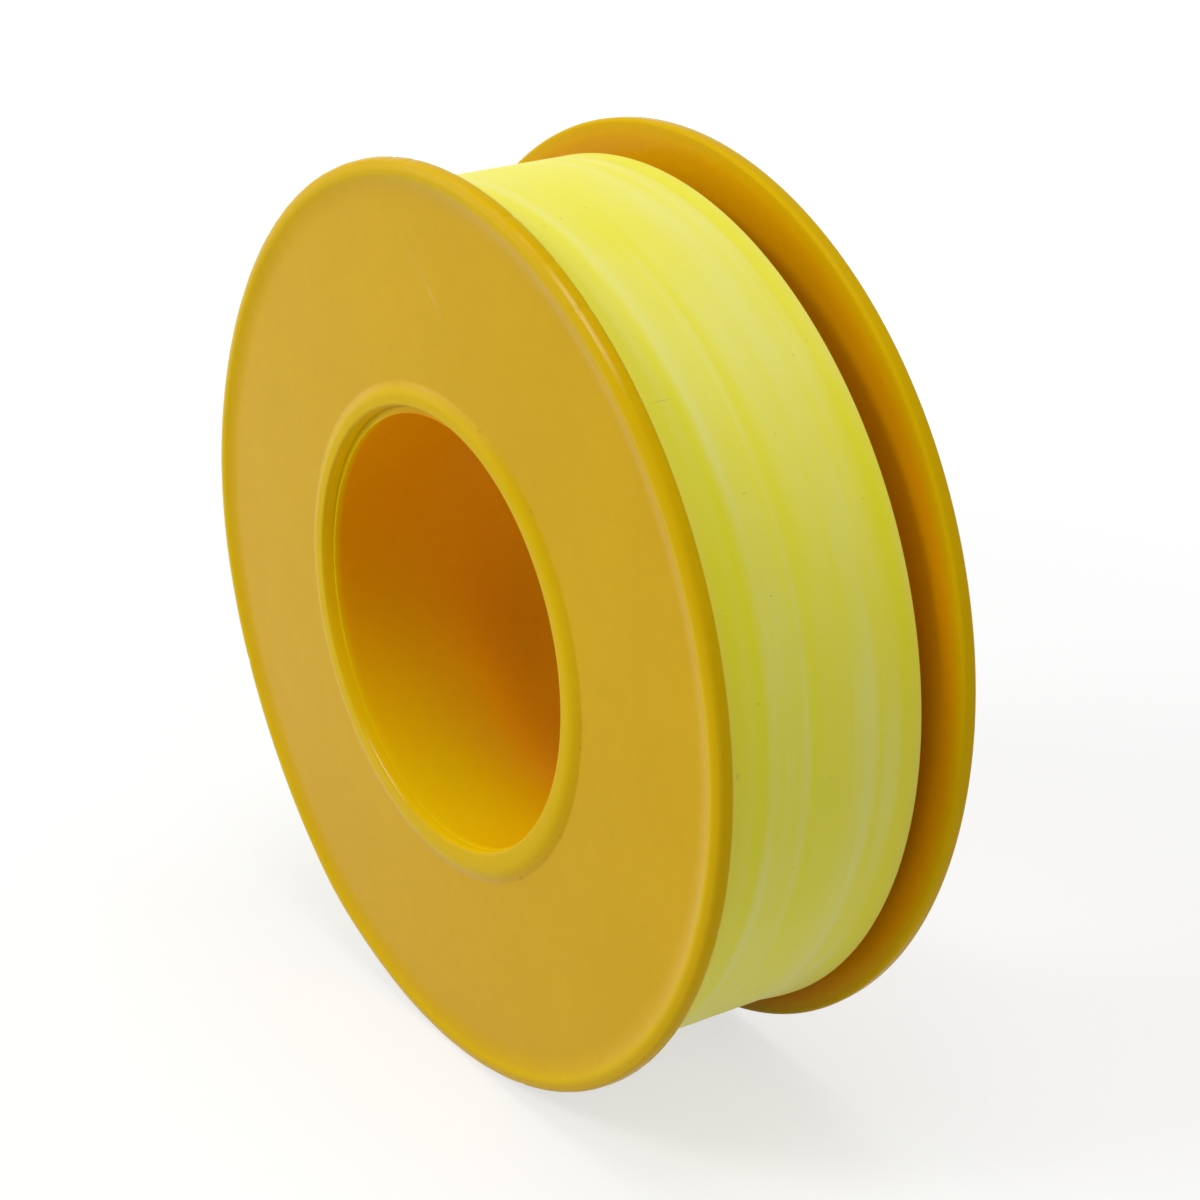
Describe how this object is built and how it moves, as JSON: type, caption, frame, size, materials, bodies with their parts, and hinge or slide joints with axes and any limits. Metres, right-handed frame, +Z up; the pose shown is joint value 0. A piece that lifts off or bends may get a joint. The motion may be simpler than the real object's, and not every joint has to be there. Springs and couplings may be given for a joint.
{
  "type": "thread seal tape roll",
  "caption": "Flanged moulded spool with a smooth through bore, wound with thin pale sealing film whose free end lifts off the roll.",
  "frame": {"origin": "centre of the bore, halfway between the two flanges", "axes": "+Y along the roll's axis towards the rear flange, +Z up, +X to the right seen from the front flange"},
  "size_m": [0.052, 0.0172, 0.052],
  "materials": {
    "moulding": "satin moulded plastic, mustard yellow",
    "film": "satin film, pale lemon with fine streaks along its length"
  },
  "bodies": {
    "roll": {"front_flange": "moulding", "spool_half": "moulding", "tape_core": "film", "tape_outer_turn": "film"},
    "free_end": {"tape_end": "film"}
  },
  "joints": [
    {"name": "tape_end_lift", "type": "hinge", "parent": "roll", "child": "free_end", "pos_m": [-0.01573, 0, 0.01875], "axis": [0, 1, 0], "range_deg": [0, 120]}
  ]
}
